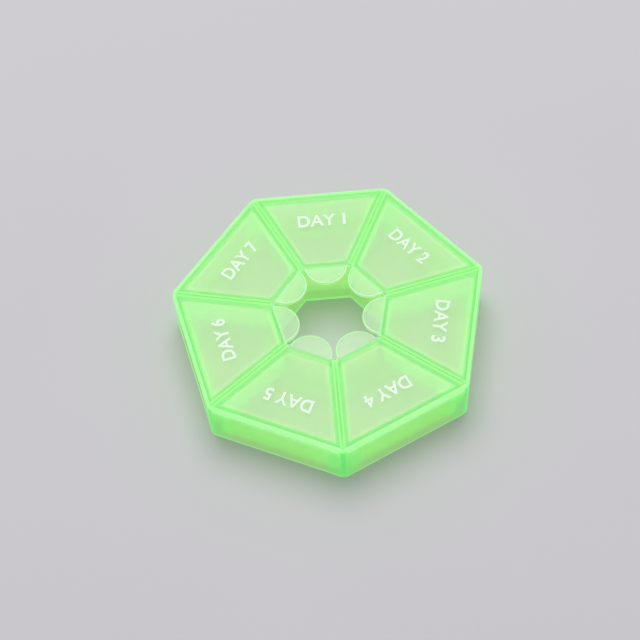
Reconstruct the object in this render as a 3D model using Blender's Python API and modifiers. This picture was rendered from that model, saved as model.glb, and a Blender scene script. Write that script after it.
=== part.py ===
"""Weekly pill box: a seven-sided ring tray whose seven compartments each have a hinged lid.

Run with: blender --background --python part.py
Metres, +Z up. The box stands on z = 0 with its origin under the middle of its outer box.
"""
import math

import bmesh
import bpy
from mathutils import Matrix, Vector

# Driving sizes of the tray, in metres.
COMPARTMENTS = 7
tray_reach = 0.0480          # centre to the sharp outer corner, before rounding
box_height = 0.0163          # table to the top of the closed lids
outer_wall = 0.0013
inner_wall = 0.0012          # at its top edge
partition = 0.0013           # between neighbouring compartments
tray_floor = 0.0012
hole_reach_top = 0.01706     # centre to the corner of the middle hole, at its top
hole_reach_foot = 0.0160     # the same at the table: the hole narrows downwards
tray_corner_radius = 0.0025
tray_foot_radius = 0.0006
hole_corner_radius = 0.0006
pocket_corner_radius = 0.0016
pocket_foot_radius = 0.0009

# Driving sizes of a lid.
lid_thickness = 0.0011
lid_seam_gap = 0.0005        # between two neighbouring lids
lid_seat_gap = 0.0003        # under a closed lid
lid_tip_radius = 0.0005      # where the rounded corner meets the seam
lid_edge_radius = 0.0003     # along the top edge
plug_depth = 0.0014          # rim under the lid that closes the compartment
plug_wall = 0.0009
plug_clearance = 0.00035
tab_radius = 0.0065
tab_root = 0.0008            # the tab's centre lies this far outside the lid's inner edge
tab_shoulder = 0.0004        # the lid's inner edge slopes down to the tab by this much

# Driving sizes of a film hinge.
film_thickness = 0.0004
film_height = 0.0027
film_gap = 0.0003            # film to tray and film to lid
film_corner_inset = 0.0021   # from the tray's sharp corner to the film's end

# Cutters run this far past what they cut.
overrun = 0.002

# How finely arcs and rounded edges are divided.
ARC_STEPS = 8
EDGE_STEPS = 2
WELD_DISTANCE = 0.000001
FLAT_ANGLE = math.radians(0.5)

# Worked out from the driving sizes.
turn = 2 * math.pi / COMPARTMENTS
half_turn = turn / 2
tray_apothem = tray_reach * math.cos(half_turn)
tray_corner_reach = tray_reach - tray_corner_radius * (1 / math.cos(half_turn) - 1)
ring_centre = Vector((0, (tray_corner_reach - tray_apothem) / 2, 0))
tray_top = box_height - lid_thickness - lid_seat_gap
hole_apothem = hole_reach_top * math.cos(half_turn)
pocket_outer = tray_apothem - outer_wall
pocket_inner = hole_apothem + inner_wall
hinge_height = box_height - lid_thickness / 2
hinge_reach = tray_apothem - film_thickness / 2
lid_outer = tray_apothem - film_thickness - film_gap
film_low = hinge_height + film_thickness / 2 - film_height

GREEN = (0.36, 0.86, 0.30, 1.0)
PALE_GREEN = (0.50, 0.87, 0.42, 1.0)
BRIGHT_GREEN = (0.40, 0.96, 0.38, 1.0)
SATIN = 0.35
POLISHED = 0.3


def clear_scene():
    """Remove every object, so that the script starts from an empty scene."""
    for existing in list(bpy.data.objects):
        bpy.data.objects.remove(existing, do_unlink=True)


def collection(name):
    """Add a collection to the scene."""
    added = bpy.data.collections.new(name)
    bpy.context.scene.collection.children.link(added)
    return added


def moulded_plastic(name, colour, roughness):
    """Make the translucent moulded plastic of one piece."""
    material = bpy.data.materials.new(name)
    material.use_nodes = True
    shader = material.node_tree.nodes["Principled BSDF"]
    shader.inputs["Base Color"].default_value = colour
    shader.inputs["Roughness"].default_value = roughness
    shader.inputs["Metallic"].default_value = 0.0
    return material


def arc(centre, radius, start, finish, steps=ARC_STEPS):
    """Points of an arc between two angles."""
    points = []
    for step in range(steps + 1):
        angle = start + (finish - start) * step / steps
        points.append(centre + radius * Vector((math.cos(angle), math.sin(angle))))
    return points


def rounded(corners, radius):
    """Round the corners of an anticlockwise outline with convex corners."""
    outline = []
    for index, corner in enumerate(corners):
        to_before = (corners[index - 1] - corner).normalized()
        to_after = (corners[(index + 1) % len(corners)] - corner).normalized()
        half = to_before.angle(to_after) / 2
        centre = corner + (to_before + to_after).normalized() * radius / math.sin(half)
        first = corner + to_before * radius / math.tan(half) - centre
        start = math.atan2(first.y, first.x)
        outline += arc(centre, radius, start, start + math.pi - 2 * half)
    return outline


def slab(name, outlines, low, high, target):
    """Make a flat plate between two heights; a second outline cuts a hole in it."""
    curve = bpy.data.curves.new(name, "CURVE")
    curve.dimensions = "2D"
    curve.fill_mode = "BOTH"
    curve.extrude = (high - low) / 2
    for outline in outlines:
        spline = curve.splines.new("POLY")
        spline.points.add(len(outline) - 1)
        for point, place in zip(spline.points, outline):
            point.co = (place.x, place.y, 0, 1)
        spline.use_cyclic_u = True
    guide = bpy.data.objects.new(name, curve)
    bpy.context.scene.collection.objects.link(guide)
    mesh = evaluated_mesh(guide)
    bpy.data.objects.remove(guide, do_unlink=True)
    mesh.transform(Matrix.Translation((0, 0, (high + low) / 2)))
    weld(mesh)
    mesh.name = name
    plate = bpy.data.objects.new(name, mesh)
    target.objects.link(plate)
    return plate


def evaluated_mesh(source):
    """Return a new mesh of an object with its modifiers applied."""
    bpy.context.view_layer.update()
    depsgraph = bpy.context.evaluated_depsgraph_get()
    return bpy.data.meshes.new_from_object(source.evaluated_get(depsgraph))


def weld(mesh):
    """Join a plate's loose caps to its sides and merge its flat faces."""
    bm = bmesh.new()
    bm.from_mesh(mesh)
    bmesh.ops.remove_doubles(bm, verts=bm.verts, dist=WELD_DISTANCE)
    bmesh.ops.dissolve_limit(bm, angle_limit=FLAT_ANGLE, verts=bm.verts, edges=bm.edges)
    bmesh.ops.recalc_face_normals(bm, faces=bm.faces)
    bm.to_mesh(mesh)
    bm.free()


def round_edge(plate, height, radius):
    """Round the edges that run round a plate at one height."""
    group = plate.vertex_groups.new(name="rounded_edge")
    level = [vertex.index for vertex in plate.data.vertices if abs(vertex.co.z - height) < WELD_DISTANCE]
    group.add(level, 1.0, "REPLACE")
    bevel = plate.modifiers.new("rounded_edge", "BEVEL")
    bevel.limit_method = "VGROUP"
    bevel.vertex_group = group.name
    bevel.width = radius
    bevel.segments = EDGE_STEPS
    bevel.use_clamp_overlap = False


def combine(body, tool, operation):
    """Add an exact Boolean with another object to a body."""
    boolean = body.modifiers.new(tool.name, "BOOLEAN")
    boolean.operation = operation
    boolean.solver = "EXACT"
    boolean.object = tool


def as_cutter(tool, angle):
    """Turn a tool to its side of the ring and keep it out of the finished part."""
    tool.location = ring_centre
    tool.rotation_euler = (0, 0, angle)
    tool.display_type = "WIRE"
    tool.hide_render = True


def side_angles():
    """Angles that turn a piece from the back of the ring to each side, clockwise from above."""
    return [-turn * index for index in range(COMPARTMENTS)]


def sector(outer, inner, seam, radius):
    """Outline of one compartment's trapezoid, seen from above with the outside at +Y.

    outer and inner are distances from the ring's centre, and seam is the distance that
    the slanted sides keep to the plane between two compartments.
    """
    slope = math.tan(half_turn)
    shift = seam / math.cos(half_turn)
    wide = outer * slope - shift
    narrow = inner * slope - shift
    corners = [(narrow, inner), (wide, outer), (-wide, outer), (-narrow, inner)]
    return rounded([Vector(corner) for corner in corners], radius)


def tray_outline():
    """Outline of the whole ring tray."""
    corners = []
    for index in range(COMPARTMENTS):
        angle = math.pi / 2 - half_turn + turn * index
        corners.append(tray_reach * Vector((math.cos(angle), math.sin(angle))))
    return rounded(corners, tray_corner_radius)


def hole_cutter(cutters):
    """Tapered seven-sided core that makes the hole in the middle of the ring."""
    draft = (hole_reach_top - hole_reach_foot) / tray_top
    core = bmesh.new()
    bmesh.ops.create_cone(
        core,
        cap_ends=True,
        segments=COMPARTMENTS,
        radius1=hole_reach_foot - draft * overrun,
        radius2=hole_reach_top + draft * overrun,
        depth=tray_top + 2 * overrun,
    )
    first = max(core.verts, key=lambda vertex: vertex.co.x)
    start = math.atan2(first.co.y, first.co.x)
    bmesh.ops.rotate(core, verts=core.verts, matrix=Matrix.Rotation(math.pi / 2 - half_turn - start, 3, "Z"))
    bmesh.ops.translate(core, verts=core.verts, vec=(0, 0, tray_top / 2))
    mesh = bpy.data.meshes.new("hole_core")
    core.to_mesh(mesh)
    core.free()
    cutter = bpy.data.objects.new("hole_core", mesh)
    cutters.objects.link(cutter)
    bevel = cutter.modifiers.new("rounded_corners", "BEVEL")
    bevel.limit_method = "ANGLE"
    bevel.width = hole_corner_radius
    bevel.segments = EDGE_STEPS
    as_cutter(cutter, 0)
    return cutter


def pocket_cutter(index, angle, cutters):
    """Space of one compartment, open at the tray's top."""
    outline = sector(pocket_outer, pocket_inner, partition / 2, pocket_corner_radius)
    cutter = slab(f"pocket_{index}", [outline], tray_floor, tray_top + overrun, cutters)
    round_edge(cutter, tray_floor, pocket_foot_radius)
    as_cutter(cutter, angle)
    return cutter


def film_half_length():
    """Half the length of a film hinge."""
    return tray_apothem * math.tan(half_turn) - film_corner_inset


def rebate_cutter(index, angle, cutters):
    """Step along the top of an outer wall in which the film hinge sits."""
    reach = film_half_length() + film_gap
    depth = tray_apothem - film_thickness - film_gap
    outline = [Vector(place) for place in (
        (-reach, depth), (reach, depth), (reach, tray_apothem + overrun), (-reach, tray_apothem + overrun))]
    cutter = slab(f"rebate_{index}", [outline], film_low - film_gap, tray_top + overrun, cutters)
    as_cutter(cutter, angle)
    return cutter


def build_tray(parts, cutters):
    """Ring tray: outer wall, seven partitions, floor and the wall of the middle hole in one moulding."""
    tray = slab("tray", [tray_outline()], 0, tray_top, parts)
    tray.location = ring_centre
    round_edge(tray, 0, tray_foot_radius)
    combine(tray, hole_cutter(cutters), "DIFFERENCE")
    for index, angle in enumerate(side_angles(), 1):
        combine(tray, pocket_cutter(index, angle, cutters), "DIFFERENCE")
        combine(tray, rebate_cutter(index, angle, cutters), "DIFFERENCE")
    tray.data.materials.append(moulded_plastic("tray_plastic", GREEN, SATIN))
    return tray


def lid_outline():
    """Outline of a lid in its hinge's frame: rounded outer corners and the half-round finger tab."""
    right_side = lid_corner()
    left_side = [Vector((-place.x, place.y)) for place in reversed(right_side)]
    outline = right_side + left_side + tab_arc()
    return [place - Vector((0, hinge_reach)) for place in outline]


def lid_corner():
    """Right-hand side of a lid: its inner corner, the edge beside the seam and its outer corner."""
    along_seam = Vector((math.sin(half_turn), math.cos(half_turn)))
    across_seam = Vector((along_seam.y, -along_seam.x))
    corner_radius = tray_corner_radius - (tray_apothem - lid_outer)
    corner_centre = along_seam * (lid_outer - corner_radius) / math.cos(half_turn)
    sideways = lid_seam_gap / 2 + lid_tip_radius
    root = hole_apothem + lid_tip_radius - sideways * math.sin(half_turn)
    inner_centre = along_seam * root / math.cos(half_turn) - across_seam * sideways
    lengthways = math.sqrt((corner_radius - lid_tip_radius) ** 2 - sideways ** 2)
    to_tip = along_seam * lengthways - across_seam * sideways
    tip_angle = math.atan2(to_tip.y, to_tip.x)
    points = arc(inner_centre, lid_tip_radius, -math.pi / 2, -half_turn)
    points += arc(corner_centre + to_tip, lid_tip_radius, -half_turn, tip_angle)
    points += arc(corner_centre, corner_radius, tip_angle, math.pi / 2)[1:]
    return points


def tab_arc():
    """Half-round finger tab that reaches over the middle hole, from left to right."""
    dip = math.asin((tab_root + tab_shoulder) / tab_radius)
    centre = Vector((0, hole_apothem + tab_root))
    return arc(centre, tab_radius, math.pi + dip, 2 * math.pi - dip, 3 * ARC_STEPS)


def plug_outline(inset):
    """Outline of the plug rim, at a distance inside the compartment's walls."""
    radius = pocket_corner_radius - inset
    outline = sector(pocket_outer - inset, pocket_inner + inset, partition / 2 + inset, radius)
    return [place - Vector((0, hinge_reach)) for place in outline]


def lid_mesh(cutters):
    """One lid with its plug rim, as a mesh whose origin is in the middle of the hinge axis."""
    plate = slab("lid_plate", [lid_outline()], -lid_thickness / 2, lid_thickness / 2, cutters)
    round_edge(plate, lid_thickness / 2, lid_edge_radius)
    outer = plug_outline(plug_clearance)
    inner = plug_outline(plug_clearance + plug_wall)
    rim = slab("plug_rim", [outer, inner], -lid_thickness / 2 - plug_depth, 0, cutters)
    combine(plate, rim, "UNION")
    mesh = evaluated_mesh(plate)
    mesh.name = "lid"
    bpy.data.objects.remove(plate, do_unlink=True)
    bpy.data.objects.remove(rim, do_unlink=True)
    return mesh


def place_on_hinge(piece, angle):
    """Put a piece on the hinge axis of its side of the ring."""
    outward = Vector((-math.sin(angle), math.cos(angle), 0))
    piece.location = ring_centre + outward * hinge_reach + Vector((0, 0, hinge_height))
    piece.rotation_euler = (0, 0, angle)


def build_lids(parts, cutters):
    """Seven lids, each with its origin on its own hinge axis."""
    shape = lid_mesh(cutters)
    for index, angle in enumerate(side_angles(), 1):
        name = f"lid_{index}"
        lid = bpy.data.objects.new(name, shape.copy())
        lid.data.materials.clear()
        lid.data.materials.append(moulded_plastic(f"{name}_plastic", PALE_GREEN, POLISHED))
        parts.objects.link(lid)
        place_on_hinge(lid, angle)


def film_mesh(target):
    """One film hinge: a thin band whose half-round top is centred on the hinge axis."""
    half = film_thickness / 2
    low = -(film_height - half)
    top = arc(Vector((0, 0)), half, 0, math.pi)
    outline = [Vector((half, low))] + top + [Vector((-half, low))]
    reach = film_half_length()
    band = slab("film_band", [outline], -reach, reach, target)
    mesh = band.data
    mesh.transform(Matrix(((0, 0, 1, 0), (1, 0, 0, 0), (0, 1, 0, 0), (0, 0, 0, 1))))
    bpy.data.objects.remove(band, do_unlink=True)
    return mesh


def build_hinges(parts, cutters):
    """Seven film hinges along the tops of the outer walls."""
    shape = film_mesh(cutters)
    for index, angle in enumerate(side_angles(), 1):
        name = f"hinge_{index}"
        hinge = bpy.data.objects.new(name, shape.copy())
        hinge.data.materials.append(moulded_plastic(f"{name}_plastic", BRIGHT_GREEN, POLISHED))
        parts.objects.link(hinge)
        place_on_hinge(hinge, angle)


def main():
    """Build the whole pill box."""
    clear_scene()
    parts = collection("weekly_pill_box")
    cutters = collection("cutters")
    build_tray(parts, cutters)
    build_lids(parts, cutters)
    build_hinges(parts, cutters)


main()
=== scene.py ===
"""Looks of a weekly pill box: milky green polypropylene, seven hinged lids and a printed label on each.

Everything is in metres, +Z up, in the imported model's frame. The back of the ring is at +Y, and pieces
are numbered clockwise from there, seen from above.
"""
import logging
import math
from contextlib import contextmanager
from dataclasses import dataclass, field
from enum import Enum
from typing import Callable, Iterator

import bmesh
import bpy
from mathutils import Matrix, Vector


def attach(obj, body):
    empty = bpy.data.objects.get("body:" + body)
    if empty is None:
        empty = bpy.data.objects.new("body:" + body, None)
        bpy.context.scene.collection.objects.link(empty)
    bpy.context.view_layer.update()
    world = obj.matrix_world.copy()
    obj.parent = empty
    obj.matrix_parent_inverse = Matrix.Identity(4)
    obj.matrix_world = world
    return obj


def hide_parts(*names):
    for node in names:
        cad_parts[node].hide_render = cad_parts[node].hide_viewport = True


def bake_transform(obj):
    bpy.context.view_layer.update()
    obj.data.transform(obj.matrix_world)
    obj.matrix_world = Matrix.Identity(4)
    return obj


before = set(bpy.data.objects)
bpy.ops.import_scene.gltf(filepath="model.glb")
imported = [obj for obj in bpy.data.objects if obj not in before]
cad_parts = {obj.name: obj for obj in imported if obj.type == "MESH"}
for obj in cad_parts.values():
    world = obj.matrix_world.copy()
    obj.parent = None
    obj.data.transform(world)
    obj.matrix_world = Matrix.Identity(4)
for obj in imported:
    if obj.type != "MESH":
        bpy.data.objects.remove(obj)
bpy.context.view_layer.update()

log = logging.getLogger("pill_box")

MM = 0.001
TOUCH = 0.001 * MM           # points nearer than this are one
LEVEL = 0.005 * MM           # points nearer than this in height are level
STEEP = 0.5                  # rise of an upright edge, as a share of its length
FLAT = math.radians(0.5)     # faces that meet at less than this become one
SHARP = math.radians(30)     # faces that meet at more than this get a round between them
CREASE = math.radians(35)    # faces that meet at more than this keep a sharp edge
CIRCULAR = 0.5               # profile of a bevel that follows a circle
SEE_THROUGH_LAYERS = 32      # clear surfaces that a ray of light may cross


class Cut(Enum):
    """Ways of combining two solids."""

    ADD = "UNION"
    REMOVE = "DIFFERENCE"
    KEEP = "INTERSECT"


class Pick(Enum):
    """What an edit works on."""

    POINTS = "VERT"
    EDGES = "EDGE"
    FACES = "FACE"


def shade(code: str) -> tuple[float, float, float, float]:
    """Turn an sRGB hex colour into linear RGBA.

    Args:
        code: the colour as #rrggbb.

    Returns:
        Linear red, green, blue and an alpha of 1.
    """
    # The numbers are the sRGB standard's own.
    channels = [int(code[place:place + 2], 16) / 255 for place in (1, 3, 5)]
    linear = [c / 12.92 if c <= 0.04045 else ((c + 0.055) / 1.055) ** 2.4 for c in channels]
    return (linear[0], linear[1], linear[2], 1.0)


def add_node(tree: bpy.types.NodeTree, kind: str, settings: dict | None = None,
             **links: bpy.types.NodeSocket) -> bpy.types.Node:
    """Add a shader node.

    Args:
        tree: the node tree that takes it.
        kind: the node's type, without its ShaderNode prefix.
        settings: values of the node's own attributes, or of its sockets by name or number.
        links: an output socket for each input socket, which is written as its name with underscores
            for spaces, or as input and its number.

    Returns:
        The new node.
    """
    node = tree.nodes.new(f"ShaderNode{kind}")
    for key, value in (settings or {}).items():
        if isinstance(key, str) and hasattr(node, key):
            setattr(node, key, value)
        else:
            node.inputs[key].default_value = value
    for key, source in links.items():
        number = key.removeprefix("input")
        target = node.inputs[int(number) if number.isdigit() else key.replace("_", " ")]
        tree.links.new(source, target)
    return node


def new_material(name: str) -> bpy.types.Material:
    """Make a material with an empty node tree."""
    material = bpy.data.materials.new(name)
    material.use_nodes = True
    material.node_tree.nodes.clear()
    return material


@dataclass(frozen=True)
class Ring:
    """The seven-sided ring that every piece is laid out on."""

    compartments: int = 7
    reach: float = 48.0 * MM
    corner_radius: float = 2.5 * MM
    height: float = 16.3 * MM
    lid_thickness: float = 1.1 * MM
    film_thickness: float = 0.4 * MM
    lid_seat_gap: float = 0.3 * MM
    hole_reach_top: float = 17.06 * MM
    hole_reach_foot: float = 16.0 * MM

    @property
    def half_turn(self) -> float:
        """Half the angle that one compartment takes."""
        return math.pi / self.compartments

    @property
    def apothem(self) -> float:
        """Distance from the middle to a flat outer side."""
        return self.reach * math.cos(self.half_turn)

    @property
    def hole_apothem(self) -> float:
        """Distance from the middle to a flat side of the hole, at its top."""
        return self.hole_reach_top * math.cos(self.half_turn)

    @property
    def middle(self) -> Vector:
        """The ring's middle on the table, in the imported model's frame."""
        corner = self.reach - self.corner_radius * (1 / math.cos(self.half_turn) - 1)
        return Vector((0, (corner - self.apothem) / 2, 0))

    @property
    def tray_top(self) -> float:
        """Height of the tray's rim, under the lids."""
        return self.height - self.lid_thickness - self.lid_seat_gap

    @property
    def film_top(self) -> float:
        """Height of the upper face of a film hinge where it turns in under the lid's middle."""
        return self.height - self.lid_thickness / 2 + self.film_thickness / 2

    def place(self, index: int) -> Matrix:
        """Move a piece that was modelled at the back of the ring to another side.

        Args:
            index: the side's number, 1 at the back and then clockwise from above.

        Returns:
            The move from the ring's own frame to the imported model's.
        """
        turn = Matrix.Rotation(-2 * self.half_turn * (index - 1), 4, "Z")
        return Matrix.Translation(self.middle) @ turn

    def block(self, name: str, reach: float, low: float, high: float, radius: float, steps: int = 10,
              foot: float | None = None) -> bpy.types.Object:
        """Make a seven-sided block with rounded upright edges and a flat side at the back.

        Args:
            name: the block's name.
            reach: middle to a sharp corner, at the top.
            low: height of its underside.
            high: height of its top.
            radius: of the upright edges.
            steps: faces across each rounded edge.
            foot: middle to a sharp corner at the underside, where that differs.

        Returns:
            The block.
        """
        bpy.ops.mesh.primitive_cone_add(
            vertices=self.compartments, radius1=reach if foot is None else foot, radius2=reach,
            depth=high - low, location=(0, 0, (low + high) / 2), rotation=(0, 0, self.half_turn))
        block = settle(bpy.context.object, name)
        with editing(block):
            pick(block, Pick.EDGES, upright)
            round_off(radius * math.tan(self.half_turn), steps)
        return block

    def sector(self, name: str, outer: float, inner: float, seam: float, low: float, high: float,
               outer_radius: float, inner_radius: float, steps: int = 8) -> bpy.types.Object:
        """Make the block of one compartment, at the back of the ring.

        Args:
            name: the block's name.
            outer: distance from the middle to its outer side.
            inner: distance from the middle to its inner side.
            seam: distance that its slanted sides keep to the plane between two compartments.
            low: height of its underside.
            high: height of its top.
            outer_radius: of its two outer upright edges.
            inner_radius: of its two inner upright edges.
            steps: faces across each rounded edge.

        Returns:
            The block.
        """
        slope = math.tan(self.half_turn)
        shift = seam / math.cos(self.half_turn)
        wide = outer * slope - shift
        narrow = inner * slope - shift
        middle = (outer + inner) / 2
        bpy.ops.mesh.primitive_cube_add(
            size=1, location=(0, middle, (low + high) / 2), scale=(2 * wide, outer - inner, high - low))
        block = settle(bpy.context.object, name)
        with editing(block):
            pick(block, Pick.POINTS, lambda point: point.co.y < middle)
            bpy.ops.transform.resize(value=(narrow / wide, 1, 1), center_override=(0, inner, low))
            pick(block, Pick.EDGES, lambda edge: upright(edge) and edge.verts[0].co.y > middle)
            round_off(outer_radius / math.tan(math.pi / 4 - self.half_turn / 2), steps)
            pick(block, Pick.EDGES, lambda edge: upright(edge) and edge.verts[0].co.y < inner + TOUCH)
            round_off(inner_radius / math.tan(math.pi / 4 + self.half_turn / 2), steps)
        return block


class Measure(Enum):
    """Distances in millimetres that a moulding's shade can follow."""

    SEAM = "from the plane between two compartments"
    SIDE = "inwards from the flat outer side"
    HOLE = "outwards from the flat side of the middle hole"
    EDGE = "inwards from the nearest edge of a lid's panel"
    RIM = "inwards from the round edge of a finger tab"
    POST = "from an upright corner of the outer wall"
    FOOT = "from the lower edge of the outer wall or of the hole"
    HEIGHT = "above the table"


@dataclass(frozen=True)
class Shade:
    """A stretch of a moulding in another colour, for thicker or thinner plastic or for painted light.

    The shade starts where the measure is start_mm and is full where it is full_mm, which may be less.
    """

    colour: str
    clear: float
    along: Measure
    start_mm: float
    full_mm: float


@dataclass(frozen=True)
class Margins:
    """Where the edges that a lid's shades follow lie, in millimetres.

    Side and hole are distances from the ring's flat sides, and tab is the tab's root in the same way as
    hole. The tab's centre is a distance from the middle.
    """

    side: float = 0.2
    hole: float = -0.22
    tab: float = -0.35
    tab_centre: float = 16.17
    tab_radius: float = 6.5


def measures(tree: bpy.types.NodeTree, ring: Ring, margins: Margins
             ) -> dict[Measure, bpy.types.NodeSocket]:
    """Work out in a shader where a point lies in its compartment, the same way for all seven.

    Args:
        tree: the node tree.
        ring: the ring that the compartments lie on.
        margins: where the lid's edges lie.

    Returns:
        A socket with millimetres for each measure.
    """
    place = add_node(tree, "TexCoord").outputs["Object"]
    centred = add_node(tree, "VectorMath", {"operation": "SUBTRACT", 1: ring.middle},
                       input0=place).outputs[0]
    sized = add_node(tree, "VectorMath", {"operation": "SCALE", "Scale": 1 / MM},
                     input0=centred).outputs[0]
    level = add_node(tree, "VectorMath", {"operation": "MULTIPLY", 1: (1, 1, 0)},
                     input0=sized).outputs[0]
    radius = add_node(tree, "VectorMath", {"operation": "LENGTH"}, input0=level).outputs["Value"]
    axes = add_node(tree, "SeparateXYZ", Vector=sized).outputs
    found = {"x": axes["X"], "y": axes["Y"], "height": axes["Z"], "radius": radius}
    steps = (
        ("bearing", "ARCTAN2", "x", "y"),
        ("turn from side", "PINGPONG", "bearing", ring.half_turn),
        ("turn from seam", "SUBTRACT", ring.half_turn, "turn from side"),
        ("seam share", "SINE", "turn from seam"),
        ("seam", "MULTIPLY", "radius", "seam share"),
        ("across share", "SINE", "turn from side"),
        ("across", "MULTIPLY", "radius", "across share"),
        ("reach share", "COSINE", "turn from side"),
        ("reach", "MULTIPLY", "radius", "reach share"),
        ("side", "SUBTRACT", ring.apothem / MM, "reach"),
        ("hole", "SUBTRACT", "reach", ring.hole_apothem / MM),
        ("wall", "MINIMUM", "side", "hole"),
        ("from lid side", "SUBTRACT", "side", margins.side),
        ("from lid root", "SUBTRACT", "hole", margins.hole),
        ("from lid end", "MINIMUM", "from lid side", "from lid root"),
        ("edge", "MINIMUM", "seam", "from lid end"),
        ("post", "MAXIMUM", "seam", "side"),
        ("foot", "MAXIMUM", "height", "wall"),
        ("along tab", "SUBTRACT", "reach", margins.tab_centre),
        ("across squared", "MULTIPLY", "across", "across"),
        ("out squared", "MULTIPLY_ADD", "along tab", "along tab", "across squared"),
        ("out", "SQRT", "out squared"),
        ("from round edge", "SUBTRACT", margins.tab_radius, "out"),
        ("from tab root", "SUBTRACT", "hole", margins.tab),
        ("rim", "MAXIMUM", "from round edge", "from tab root"))
    for name, operation, *terms in steps:
        settings = {slot: term for slot, term in enumerate(terms) if not isinstance(term, str)}
        links = {f"input{slot}": found[term] for slot, term in enumerate(terms)
                 if isinstance(term, str)}
        found[name] = add_node(tree, "Math", {"operation": operation, **settings}, **links).outputs[0]
    return {measure: found[measure.name.lower()] for measure in Measure}


@dataclass(frozen=True)
class MilkyPlastic:
    """Lightly milky polypropylene, injection moulded, in a bright green with a painted glow.

    Part of the light goes straight through and the rest is scattered inside. The eye sees pale panels
    and deeper green wherever the plastic is thick or is seen on edge.
    """

    name: str
    body: str
    clear: float
    shades: tuple[Shade, ...]
    # painted glow: emission in the shade colours, standing in for light scattered inside the plastic
    painted_glow: float = 0.327
    tint: str = "#acff84"
    tint_per_mm: float = 0.169
    scatter_mm: float = 0.6
    scatter_spread: tuple[float, float, float] = (0.55, 1.0, 0.45)
    roughness: float = 0.3
    roughness_swing: float = 0.04
    ior: float = 1.49
    ripple_mm: float = 9.0
    ripple_height_mm: float = 0.02
    ripple_shade: str = "#eefff4"
    grain_mm: float = 0.5
    grain_height_mm: float = 0.002
    margins: Margins = Margins()

    def material(self, ring: Ring) -> bpy.types.Material:
        """Build the plastic's material.

        Args:
            ring: the ring that the moulding's shades are laid out on.

        Returns:
            A material with its pattern on Object coordinates.
        """
        material = new_material(self.name)
        tree = material.node_tree
        place = add_node(tree, "TexCoord").outputs["Object"]
        ripple = add_node(tree, "TexNoise", {"Scale": 1 / (self.ripple_mm * MM), "Detail": 2.0},
                          Vector=place)
        grain = add_node(tree, "TexNoise", {"Scale": 1 / (self.grain_mm * MM), "Detail": 1.0},
                         Vector=place)
        wave = add_node(tree, "Bump", {"Distance": self.ripple_height_mm * MM, "Strength": 1.0},
                        Height=ripple.outputs["Fac"])
        skin = add_node(tree, "Bump", {"Distance": self.grain_height_mm * MM, "Strength": 1.0},
                        Height=grain.outputs["Fac"], Normal=wave.outputs["Normal"])
        gloss = add_node(tree, "MapRange", {"To Min": self.roughness - self.roughness_swing,
                                            "To Max": self.roughness + self.roughness_swing},
                         Value=grain.outputs["Fac"])
        colour, clear = self.shaded(tree, ring)
        uneven = add_node(
            tree, "Mix", {"data_type": "RGBA", "blend_type": "MULTIPLY", 7: shade(self.ripple_shade)},
            input0=ripple.outputs["Fac"], input6=colour)
        # The emission is the painted glow, in the shades' colours, so bright shades glow more.
        plastic = add_node(tree, "BsdfPrincipled", {
            "IOR": self.ior, "Subsurface Weight": 1.0, "Subsurface Scale": self.scatter_mm * MM,
            "Subsurface Radius": self.scatter_spread, "Emission Strength": self.painted_glow},
            Base_Color=uneven.outputs[2], Emission_Color=colour, Roughness=gloss.outputs["Result"],
            Normal=skin.outputs["Normal"])
        through = add_node(tree, "BsdfTransparent")
        surface = add_node(tree, "MixShader", input0=clear, input1=plastic.outputs["BSDF"],
                           input2=through.outputs["BSDF"])
        inside = add_node(tree, "VolumeAbsorption",
                          {"Color": shade(self.tint), "Density": self.tint_per_mm / MM})
        add_node(tree, "OutputMaterial", Surface=surface.outputs["Shader"],
                 Volume=inside.outputs["Volume"])
        return material

    def shaded(self, tree: bpy.types.NodeTree, ring: Ring
               ) -> tuple[bpy.types.NodeSocket, bpy.types.NodeSocket]:
        """Lay the shades over the body colour, one after the other.

        Args:
            tree: the material's node tree.
            ring: the ring that the shades are laid out on.

        Returns:
            The colour and how clear the plastic is.
        """
        distances = measures(tree, ring, self.margins)
        under_colour, under_clear = {}, {}
        for part in self.shades:
            share = add_node(
                tree, "MapRange", {"interpolation_type": "SMOOTHSTEP",
                                   "From Min": part.start_mm, "From Max": part.full_mm},
                Value=distances[part.along]).outputs["Result"]
            colour = add_node(
                tree, "Mix", {"data_type": "RGBA", 6: shade(self.body), 7: shade(part.colour)},
                input0=share, **under_colour).outputs[2]
            clear = add_node(tree, "Mix", {2: self.clear, 3: part.clear},
                             input0=share, **under_clear).outputs[0]
            under_colour, under_clear = {"input6": colour}, {"input2": clear}
        return colour, clear


@dataclass(frozen=True)
class PrintInk:
    """Pad-printing ink: matt, opaque and white, with slightly uneven cover."""

    name: str = "white_pad_print_ink"
    colour: str = "#e9f6e9"
    thin: str = "#d9efd7"
    roughness: float = 0.5
    cover_mm: float = 1.2

    def material(self) -> bpy.types.Material:
        """Build the ink's material.

        Returns:
            A material with its pattern on Object coordinates.
        """
        material = new_material(self.name)
        tree = material.node_tree
        place = add_node(tree, "TexCoord").outputs["Object"]
        cover = add_node(tree, "TexNoise", {"Scale": 1 / (self.cover_mm * MM), "Detail": 3.0},
                         Vector=place)
        colour = add_node(
            tree, "Mix", {"data_type": "RGBA", 6: shade(self.colour), 7: shade(self.thin)},
            input0=cover.outputs["Fac"])
        ink = add_node(tree, "BsdfPrincipled", {"Roughness": self.roughness},
                       Base_Color=colour.outputs[2])
        add_node(tree, "OutputMaterial", Surface=ink.outputs["BSDF"])
        return material


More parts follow.
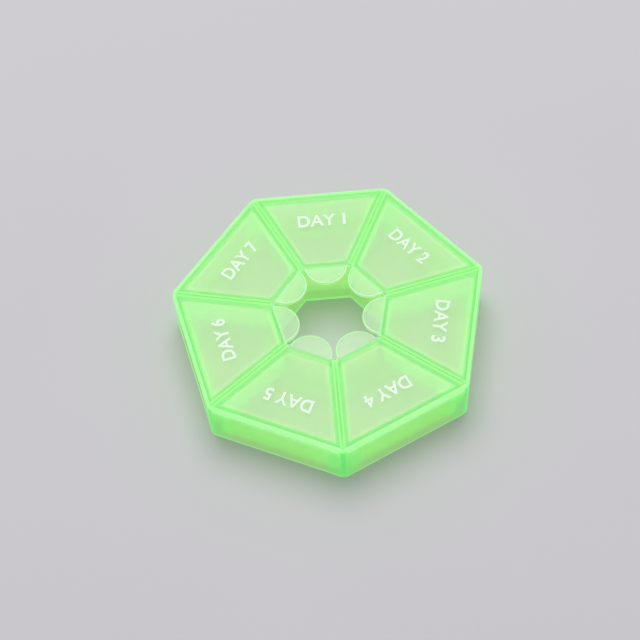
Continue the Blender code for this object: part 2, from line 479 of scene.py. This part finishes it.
@dataclass(frozen=True)
class Paper:
    """Matt pale grey backdrop paper."""

    name: str = "pale_backdrop_paper"
    colour: str = "#cbc8cd"
    mottle: str = "#c8c5ca"
    mottle_mm: float = 90.0
    roughness: float = 0.9
    gloss_level: float = 0.1

    def material(self) -> bpy.types.Material:
        """Build the paper's material.

        Returns:
            A material with its pattern on Object coordinates.
        """
        material = new_material(self.name)
        tree = material.node_tree
        place = add_node(tree, "TexCoord").outputs["Object"]
        mottle = add_node(tree, "TexNoise", {"Scale": 1 / (self.mottle_mm * MM), "Detail": 1.0},
                          Vector=place)
        colour = add_node(
            tree, "Mix", {"data_type": "RGBA", 6: shade(self.colour), 7: shade(self.mottle)},
            input0=mottle.outputs["Fac"])
        paper = add_node(tree, "BsdfPrincipled",
                         {"Roughness": self.roughness, "Specular IOR Level": self.gloss_level},
                         Base_Color=colour.outputs[2])
        add_node(tree, "OutputMaterial", Surface=paper.outputs["BSDF"])
        return material


@contextmanager
def editing(piece: bpy.types.Object) -> Iterator[None]:
    """Open one piece in edit mode with nothing in it selected, and close it again.

    Args:
        piece: the mesh object to edit.
    """
    bpy.ops.object.select_all(action="DESELECT")
    piece.select_set(True)
    bpy.context.view_layer.objects.active = piece
    bpy.ops.object.mode_set(mode="EDIT")
    bpy.ops.mesh.select_all(action="DESELECT")
    yield
    bpy.ops.object.mode_set(mode="OBJECT")


def pick(piece: bpy.types.Object, kind: Pick, wanted: Callable) -> None:
    """Select the points, edges or faces of a piece in edit mode that pass a test.

    Args:
        piece: the mesh object in edit mode.
        kind: what to select.
        wanted: takes a bmesh element and says whether it is selected.
    """
    bpy.ops.mesh.select_all(action="DESELECT")
    bpy.ops.mesh.select_mode(type=kind.value)
    shape = bmesh.from_edit_mesh(piece.data)
    elements = {Pick.POINTS: shape.verts, Pick.EDGES: shape.edges, Pick.FACES: shape.faces}[kind]
    for element in elements:
        element.select_set(bool(wanted(element)))
    shape.select_flush_mode()
    bmesh.update_edit_mesh(piece.data)


def upright(edge: bmesh.types.BMEdge) -> bool:
    """Say whether an edge stands up from the table rather than lying level."""
    rise = abs(edge.verts[0].co.z - edge.verts[1].co.z)
    return rise > STEEP * edge.calc_length()


def sharp_at(height: float) -> Callable[[bmesh.types.BMEdge], bool]:
    """Make a test for the level edges at one height where two faces meet at an angle."""
    def wanted(edge: bmesh.types.BMEdge) -> bool:
        level = all(abs(point.co.z - height) < LEVEL for point in edge.verts)
        return level and edge.is_manifold and edge.calc_face_angle(0) > SHARP
    return wanted


def round_off(width: float, steps: int) -> None:
    """Bevel the selected edges to a round.

    Args:
        width: how far the round starts from the edge, along each face.
        steps: faces across the round.
    """
    bpy.ops.mesh.bevel(offset=width, offset_type="OFFSET", segments=steps, profile=CIRCULAR,
                       affect="EDGES", clamp_overlap=False)


def settle(piece: bpy.types.Object, name: str) -> bpy.types.Object:
    """Name a new primitive and put its place into its mesh."""
    piece.name = piece.data.name = name
    bpy.ops.object.select_all(action="DESELECT")
    piece.select_set(True)
    bpy.context.view_layer.objects.active = piece
    bpy.ops.object.transform_apply(location=True, rotation=True, scale=True)
    return piece


def combine(body: bpy.types.Object, tool: bpy.types.Object, how: Cut) -> None:
    """Add or cut away a solid, and remove the tool.

    Args:
        body: the piece that is changed.
        tool: the solid that is added or cut away.
        how: the way of combining them.
    """
    bpy.context.view_layer.objects.active = body
    boolean = body.modifiers.new(tool.name, "BOOLEAN")
    boolean.operation = how.value
    boolean.solver = "EXACT"
    boolean.object = tool
    bpy.ops.object.modifier_apply(modifier=boolean.name)
    bpy.data.objects.remove(tool, do_unlink=True)


def turned_copy(piece: bpy.types.Object, name: str, place: Matrix) -> bpy.types.Object:
    """Copy a piece with its own mesh, and put the copy's place into the mesh.

    Args:
        piece: the piece to copy.
        name: the copy's name.
        place: where the copy goes.

    Returns:
        The copy.
    """
    copy = piece.copy()
    copy.data = piece.data.copy()
    copy.data.transform(place)
    copy.name = copy.data.name = name
    bpy.context.scene.collection.objects.link(copy)
    return copy


def finish_surface(piece: bpy.types.Object, finish: bpy.types.Material) -> None:
    """Close doubles, shade the rounds smooth and give a piece its material.

    Args:
        piece: the piece.
        finish: its material.
    """
    with editing(piece):
        bpy.ops.mesh.select_all(action="SELECT")
        bpy.ops.mesh.remove_doubles(threshold=TOUCH)
        bpy.ops.mesh.normals_make_consistent(inside=False)
    bpy.ops.object.shade_smooth_by_angle(angle=CREASE)
    weigh = piece.modifiers.new("flat_faces_stay_flat", "WEIGHTED_NORMAL")
    weigh.keep_sharp = True
    bpy.ops.object.modifier_apply(modifier=weigh.name)
    piece.data.materials.clear()
    piece.data.materials.append(finish)


@dataclass
class Tray:
    """The ring tray: outer wall, partitions, floor and the wall of the middle hole in one moulding."""

    ring: Ring
    finish: MilkyPlastic
    outer_wall: float = 1.3 * MM
    inner_wall: float = 1.2 * MM
    partition: float = 1.3 * MM
    floor: float = 1.2 * MM
    foot_radius: float = 0.6 * MM
    hole_corner_radius: float = 0.6 * MM
    pocket_corner_radius: float = 1.6 * MM
    pocket_foot_radius: float = 0.9 * MM
    rim_round: float = 0.15 * MM
    film_room: float = 0.7 * MM
    film_drop: float = 3.0 * MM
    film_corner_inset: float = 1.2 * MM
    overrun: float = 2.0 * MM
    foot_steps: int = 4
    rim_steps: int = 2
    hole_corner_steps: int = 6

    def build(self) -> bpy.types.Object:
        """Model the tray and hand it to the frame.

        Returns:
            The finished tray.
        """
        ring = self.ring
        tray = ring.block("tray_moulding", ring.reach, 0, ring.tray_top, ring.corner_radius)
        with editing(tray):
            pick(tray, Pick.EDGES, sharp_at(0))
            round_off(self.foot_radius, self.foot_steps)
        combine(tray, self.hole(), Cut.REMOVE)
        for index in range(1, ring.compartments + 1):
            turn = Matrix.Rotation(-2 * ring.half_turn * (index - 1), 4, "Z")
            for shape in (self.pocket(), self.film_step()):
                shape.data.transform(turn)
                combine(tray, shape, Cut.REMOVE)
        with editing(tray):
            pick(tray, Pick.EDGES, sharp_at(ring.tray_top))
            round_off(self.rim_round, self.rim_steps)
        tray.data.transform(Matrix.Translation(ring.middle))
        finish_surface(tray, self.finish.material(ring))
        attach(tray, "tray")
        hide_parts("tray")
        return tray

    def hole(self) -> bpy.types.Object:
        """Make the tapered core of the middle hole."""
        ring = self.ring
        draft = (ring.hole_reach_top - ring.hole_reach_foot) / ring.tray_top
        top = ring.hole_reach_top + draft * self.overrun
        foot = ring.hole_reach_foot - draft * self.overrun
        return ring.block("hole_core", top, -self.overrun, ring.tray_top + self.overrun,
                          self.hole_corner_radius, self.hole_corner_steps, foot)

    def pocket(self) -> bpy.types.Object:
        """Make the space of one compartment."""
        ring = self.ring
        outer = ring.apothem - self.outer_wall
        inner = ring.hole_apothem + self.inner_wall
        corner = self.pocket_corner_radius
        pocket = ring.sector("pocket", outer, inner, self.partition / 2, self.floor,
                             ring.tray_top + self.overrun, corner, corner)
        with editing(pocket):
            pick(pocket, Pick.EDGES, sharp_at(self.floor))
            round_off(self.pocket_foot_radius, self.foot_steps)
        return pocket

    def film_step(self) -> bpy.types.Object:
        """Make the step along one wall's top that the film hinge lies in."""
        ring = self.ring
        length = 2 * (ring.apothem * math.tan(ring.half_turn) - self.film_corner_inset)
        low = ring.film_top - self.film_drop
        high = ring.tray_top + self.overrun
        inner = ring.apothem - self.film_room
        outer = ring.apothem + self.overrun
        bpy.ops.mesh.primitive_cube_add(
            size=1, location=(0, (inner + outer) / 2, (low + high) / 2),
            scale=(length, outer - inner, high - low))
        return settle(bpy.context.object, "film_step")


@dataclass
class Lids:
    """Seven lids, each a plate with a half-round finger tab and a plug rim under it."""

    ring: Ring
    finish: MilkyPlastic
    print_thickness: float = 0.02 * MM
    seam_gap: float = 0.2 * MM
    outer_gap: float = 0.95 * MM
    outer_corner_radius: float = 0.3 * MM
    inner_corner_radius: float = 0.5 * MM
    edge_round: float = 0.3 * MM
    under_round: float = 0.12 * MM
    tab_radius: float = 6.5 * MM
    tab_root: float = 0.8 * MM
    tab_shoulder: float = 0.2 * MM
    tab_steps: int = 30
    tab_slope_degrees: float = 4.0
    plug_depth: float = 1.4 * MM
    plug_wall: float = 0.9 * MM
    plug_outer: float = 41.6 * MM
    plug_inner: float = 16.92 * MM
    plug_seam: float = 1.0 * MM
    plug_corner_radius: float = 1.25 * MM
    plug_round: float = 0.15 * MM
    edge_steps: int = 4
    under_steps: int = 2

    def build(self) -> list[bpy.types.Object]:
        """Model one lid, copy it round the ring and hand the lids to the frame.

        Returns:
            The seven lids.
        """
        shape = self.plate()
        finish_surface(shape, self.finish.material(self.ring))
        lids = []
        for index in range(1, self.ring.compartments + 1):
            lid = turned_copy(shape, f"lid_moulding_{index}", self.ring.place(index))
            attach(lid, f"lid_{index}")
            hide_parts(f"lid_{index}")
            lids.append(lid)
        bpy.data.objects.remove(shape, do_unlink=True)
        return lids

    def plate(self) -> bpy.types.Object:
        """Model one lid at the back of the ring."""
        ring = self.ring
        top = ring.height - self.print_thickness
        low = ring.height - ring.lid_thickness
        plate = ring.sector(
            "lid_plate", ring.apothem - self.outer_gap, ring.hole_apothem, self.seam_gap / 2, low, top,
            self.outer_corner_radius, self.inner_corner_radius)
        self.grow_tab(plate)
        with editing(plate):
            pick(plate, Pick.EDGES, sharp_at(top))
            round_off(self.edge_round, self.edge_steps)
            pick(plate, Pick.EDGES, sharp_at(low))
            round_off(self.under_round, self.under_steps)
            root = ring.hole_apothem
            bpy.ops.mesh.select_all(action="SELECT")
            bpy.ops.mesh.bisect(plane_co=(0, root, 0), plane_no=(0, 1, 0))
            pick(plate, Pick.POINTS, lambda point: point.co.y < root - TOUCH)
            bpy.ops.transform.rotate(value=-math.radians(self.tab_slope_degrees), orient_axis="X",
                                     center_override=(0, root, top))
        combine(plate, self.plug(low), Cut.ADD)
        return plate

    def grow_tab(self, plate: bpy.types.Object) -> None:
        """Extrude the finger tab from a plate's inner side, in steps round its half circle.

        Args:
            plate: the lid's plate.
        """
        reach = self.ring.hole_apothem
        centre = reach + self.tab_root
        start = math.asin((self.tab_root + self.tab_shoulder) / self.tab_radius)
        with editing(plate):
            pick(plate, Pick.FACES, lambda face: face.calc_center_median().y < reach + TOUCH)
            side = [face for face in bmesh.from_edit_mesh(plate.data).faces if face.select][0]
            half = max(point.co.x for point in side.verts)
            for step in range(self.tab_steps):
                angle = start + (math.pi / 2 - start) * step / self.tab_steps
                next_reach = centre - self.tab_radius * math.sin(angle)
                next_half = self.tab_radius * math.cos(angle)
                step_in = {"value": (0, next_reach - reach, 0)}
                bpy.ops.mesh.extrude_region_move(TRANSFORM_OT_translate=step_in)
                bpy.ops.transform.resize(value=(next_half / half, 1, 1),
                                         center_override=(0, next_reach, 0))
                reach, half = next_reach, next_half
            bpy.ops.mesh.select_all(action="SELECT")
            bpy.ops.mesh.dissolve_limited(angle_limit=FLAT)

    def plug(self, low: float) -> bpy.types.Object:
        """Make the rim under a lid that closes its compartment.

        Args:
            low: height of the plate's underside.

        Returns:
            The rim.
        """
        foot = low - self.plug_depth
        inside = low + self.ring.lid_thickness / 2
        corner = self.plug_corner_radius
        rim = self.ring.sector("plug_rim", self.plug_outer, self.plug_inner, self.plug_seam, foot,
                               inside, corner, corner)
        core = self.ring.sector(
            "plug_core", self.plug_outer - self.plug_wall, self.plug_inner + self.plug_wall,
            self.plug_seam + self.plug_wall, foot - self.plug_depth, inside + self.plug_depth,
            corner - self.plug_wall, corner - self.plug_wall)
        combine(rim, core, Cut.REMOVE)
        with editing(rim):
            pick(rim, Pick.EDGES, sharp_at(foot))
            round_off(self.plug_round, self.under_steps)
        return rim


@dataclass
class FilmHinges:
    """Seven thin bands that join the lids to the outer walls, cut into level rings up their height."""

    ring: Ring
    finish: MilkyPlastic
    drop: float = 2.97 * MM
    corner_inset: float = 1.3 * MM
    end_round: float = 0.9 * MM
    leaf_width: float = 0.94 * MM
    leaf_thickness: float = 0.95 * MM
    leaf_seam: float = 0.1 * MM
    leaf_round: float = 0.3 * MM
    leaf_corner_radius: float = 0.1 * MM
    top_gap: float = 0.02 * MM
    bend_low: float = 1.5 * MM
    bend_high: float = 0.1 * MM
    bend_in: float = 0.35 * MM
    bend_steps: int = 16
    end_steps: int = 5
    leaf_steps: int = 3
    leaf_corner_steps: int = 2

    def build(self) -> list[bpy.types.Object]:
        """Model one band and copy it round the ring.

        Returns:
            The seven bands.
        """
        shape = self.band()
        finish_surface(shape, self.finish.material(self.ring))
        bands = []
        for index in range(1, self.ring.compartments + 1):
            place = self.ring.place(index)
            band = turned_copy(shape, f"film_hinge_{index}", place)
            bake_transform(band)
            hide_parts(f"hinge_{index}")
            bands.append(band)
        bpy.data.objects.remove(shape, do_unlink=True)
        return bands

    def band(self) -> bpy.types.Object:
        """Model one band at the back of the ring: an upright web under a leaf."""
        ring = self.ring
        top = ring.height - self.top_gap
        under = top - self.leaf_thickness
        low = ring.film_top - self.drop
        inner = ring.apothem - self.leaf_width
        band = ring.sector("film_band", ring.apothem, inner, self.leaf_seam, under, top,
                           self.leaf_corner_radius, self.leaf_corner_radius, self.leaf_corner_steps)
        combine(band, ring.block("rounded_ring", ring.reach, under - self.drop, top + self.drop,
                                 ring.corner_radius), Cut.KEEP)
        combine(band, self.web(low, under + self.leaf_thickness / 2), Cut.ADD)
        with editing(band):
            pick(band, Pick.EDGES, sharp_at(top))
            round_off(self.leaf_round, self.leaf_steps)
            for step in range(1, self.bend_steps):
                bpy.ops.mesh.select_all(action="SELECT")
                height = low + (top - low) * step / self.bend_steps
                bpy.ops.mesh.bisect(plane_co=(0, 0, height), plane_no=(0, 0, 1))
        return band

    def web(self, low: float, high: float) -> bpy.types.Object:
        """Make the upright part of a band, rounded at its two lower ends."""
        outer = self.ring.apothem
        length = 2 * (outer * math.tan(self.ring.half_turn) - self.corner_inset)
        bpy.ops.mesh.primitive_cube_add(
            size=1, location=(0, outer - self.ring.film_thickness / 2, (high + low) / 2),
            scale=(length, self.ring.film_thickness, high - low))
        web = settle(bpy.context.object, "film_web")
        with editing(web):
            pick(web, Pick.EDGES, lambda edge: abs(edge.verts[0].co.x - edge.verts[1].co.x) < TOUCH
                 and all(point.co.z < low + TOUCH for point in edge.verts))
            round_off(self.end_round, self.end_steps)
        return web


@dataclass
class Labels:
    """A printed word and number on each lid, with its top towards the outside."""

    ring: Ring
    finish: PrintInk
    thickness: float = 0.02 * MM
    reach: float = 32.9 * MM
    width: float = 14.7 * MM
    height: float = 4.3 * MM
    bold: float = 0.028
    letter_space: float = 1.06
    word_space: float = 0.75
    curve_steps: int = 6

    def build(self) -> list[bpy.types.Object]:
        """Print every lid's label.

        Returns:
            The seven labels.
        """
        ink = self.finish.material()
        labels = []
        for index in range(1, self.ring.compartments + 1):
            label = self.label(index)
            label.data.transform(self.ring.place(index))
            label.data.materials.clear()
            label.data.materials.append(ink)
            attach(label, f"lid_{index}")
            labels.append(label)
        return labels

    def label(self, index: int) -> bpy.types.Object:
        """Set one lid's words at the back of the ring, as a mesh.

        Args:
            index: the lid's number.

        Returns:
            The label.
        """
        bpy.ops.object.text_add(location=(0, 0, 0))
        words = bpy.context.object
        words.data.body = f"DAY {index}"
        words.data.space_character = self.letter_space
        words.data.space_word = self.word_space
        words.data.resolution_u = self.curve_steps
        words.data.extrude = words.data.size / 2
        bpy.ops.object.select_all(action="DESELECT")
        words.select_set(True)
        bpy.context.view_layer.objects.active = words
        bpy.ops.object.convert(target="MESH")
        label = bpy.context.object
        label.name = label.data.name = f"label_{index}"
        with editing(label):
            bpy.ops.mesh.select_all(action="SELECT")
            bpy.ops.mesh.remove_doubles(threshold=TOUCH)
            bpy.ops.mesh.normals_make_consistent(inside=False)
            bpy.ops.transform.shrink_fatten(value=self.bold, use_even_offset=True)
        corners = [point.co for point in label.data.vertices]
        low = Vector([min(co[axis] for co in corners) for axis in range(3)])
        high = Vector([max(co[axis] for co in corners) for axis in range(3)])
        label.data.transform(Matrix.Translation(-(low + high) / 2))
        size = high - low
        stretch = Matrix.Diagonal(
            (self.width / size.x, self.height / size.y, self.thickness / size.z, 1))
        top = self.ring.height - self.thickness / 2
        label.data.transform(Matrix.Translation((0, self.reach, top)) @ stretch)
        return label


@dataclass
class Studio:
    """Pale paper floor, an even sky and one broad soft lamp behind and above the box."""

    paper: Paper = field(default_factory=Paper)
    floor_size: float = 3.0
    sky: str = "#ffffff"
    sky_strength: float = 0.566
    lamp_size: float = 1.18
    lamp_power: float = 11.65
    lamp_place: Vector = field(default_factory=lambda: Vector((-0.025, 0.52, 1.33)))

    def build(self) -> None:
        """Lay the floor and set the light."""
        bpy.ops.object.select_all(action="DESELECT")
        bpy.ops.mesh.primitive_plane_add(size=self.floor_size, location=(0, 0, 0))
        floor = settle(bpy.context.object, "floor")
        floor.data.materials.append(self.paper.material())
        self.light_sky()
        self.hang_lamp()

    def light_sky(self) -> None:
        """Light the scene evenly from all sides."""
        world = bpy.data.worlds.new("studio_sky")
        world.use_nodes = True
        tree = world.node_tree
        tree.nodes.clear()
        sky = add_node(tree, "Background", {"Color": shade(self.sky), "Strength": self.sky_strength})
        add_node(tree, "OutputWorld", Surface=sky.outputs["Background"])
        bpy.context.scene.world = world

    def hang_lamp(self) -> None:
        """Hang the soft lamp, aimed at the box."""
        lamp = bpy.data.lights.new("soft_lamp", "AREA")
        lamp.shape = "DISK"
        lamp.size = self.lamp_size
        lamp.energy = self.lamp_power
        holder = bpy.data.objects.new("soft_lamp", lamp)
        holder.location = self.lamp_place
        holder.rotation_euler = (-self.lamp_place).to_track_quat("-Z", "Y").to_euler()
        bpy.context.scene.collection.objects.link(holder)


@dataclass
class ViewCamera:
    """The camera, at the photograph's viewing angle."""

    ring: Ring
    distance: float = 496.4 * MM
    side_degrees: float = -1.51
    height_degrees: float = 57.94
    aim_side_degrees: float = 0.82
    aim_down_degrees: float = 57.26
    roll_degrees: float = -4.15
    lens: float = 91.6

    def build(self) -> bpy.types.Object:
        """Place the camera and make it the scene's.

        Returns:
            The camera.
        """
        camera = bpy.data.objects.new("camera", bpy.data.cameras.new("camera"))
        camera.data.lens = self.lens
        side, rise = math.radians(self.side_degrees), math.radians(self.height_degrees)
        level = self.distance * math.cos(rise)
        away = Vector((level * math.sin(side), -level * math.cos(side), self.distance * math.sin(rise)))
        turn = Matrix.Rotation(math.radians(-self.aim_side_degrees), 4, "Z")
        tilt = Matrix.Rotation(math.radians(90 - self.aim_down_degrees), 4, "X")
        roll = Matrix.Rotation(math.radians(self.roll_degrees), 4, "Z")
        camera.matrix_world = Matrix.Translation(self.ring.middle + away) @ turn @ tilt @ roll
        bpy.context.scene.collection.objects.link(camera)
        bpy.context.scene.camera = camera
        return camera


# Thick moulding: a fresh green wall, deeper towards its corners, with painted bright light on its
# edges.
TRAY_PLASTIC = MilkyPlastic(
    "tray_milky_polypropylene", "#bdeb9f", 0.567,
    (Shade("#d2e5aa", 0.436, Measure.HOLE, 2.0, 1.4),       # wall of the middle hole, lit less
     Shade("#adf7a4", 0.5, Measure.SEAM, 1.3, 0.9),         # partitions, seen on edge
     Shade("#a8ffa0", 0.5, Measure.HEIGHT, 14.3, 14.7),     # upper edges under the lids, painted glow
     Shade("#aee090", 0.15, Measure.FOOT, 7.0, 3.8),        # foot of the wall, where the floor joins it
     Shade("#98ee88", 0.2, Measure.POST, 6.5, 3.0),         # corners of the outer wall, thicker
     Shade("#84ff84", 0.2, Measure.POST, 1.3, 0.8),         # their rounds, where light gathers
     Shade("#b8ffac", 0.1, Measure.FOOT, 1.2, 0.7)))        # rounded lower edges: painted bright line
# Thin plates: pale and milky, with a deep green line where the plug rim stands under them.
LID_PLASTIC = MilkyPlastic(
    "lid_milky_polypropylene", "#cbd0bb", 0.665,
    (Shade("#d7e1c4", 0.7, Measure.EDGE, 3.4, 2.4),         # green light from the plug rim
     Shade("#7fc874", 0.4, Measure.EDGE, 2.5, 1.3),         # plug rim under the plate
     Shade("#aae298", 0.5, Measure.EDGE, 0.95, 0.75),       # margin outside the plug rim, painted highlight
     Shade("#cfdcc6", 0.7, Measure.HOLE, 0.7, 0.5),         # finger tab
     Shade("#c2e2ba", 0.2, Measure.RIM, 0.45, 0.3),         # round edge of the finger tab, painted highlight
     Shade("#b9f8ab", 0.4, Measure.HEIGHT, 14.2, 14.0)))    # foot of the plug rim, painted glow
# Film: a pale soft band with painted highlights, from the lid's edge a little way down the wall.
HINGE_PLASTIC = MilkyPlastic(
    "hinge_milky_polypropylene", "#b0eca6", 0.55,
    (Shade("#c0faac", 0.2, Measure.HEIGHT, 13.1, 14.8),     # bend of the film, painted highlight on its round
     Shade("#bcecb8", 0.4, Measure.HEIGHT, 15.9, 16.1)))    # strip joining the lid's top, painted highlight


def main() -> None:
    """Build the pill box, the studio and the camera."""
    logging.basicConfig(level=logging.INFO, format="%(name)s: %(message)s")
    bpy.context.scene.view_settings.view_transform = "Standard"
    bpy.context.scene.cycles.transparent_max_bounces = SEE_THROUGH_LAYERS
    ring = Ring()
    pieces = [Tray(ring, TRAY_PLASTIC).build()]
    pieces += Lids(ring, LID_PLASTIC).build()
    pieces += FilmHinges(ring, HINGE_PLASTIC).build()
    pieces += Labels(ring, PrintInk()).build()
    for piece in pieces:
        log.info("%s has %d faces", piece.name, len(piece.data.polygons))
    Studio().build()
    ViewCamera(ring).build()


if __name__ == "__main__":
    main()
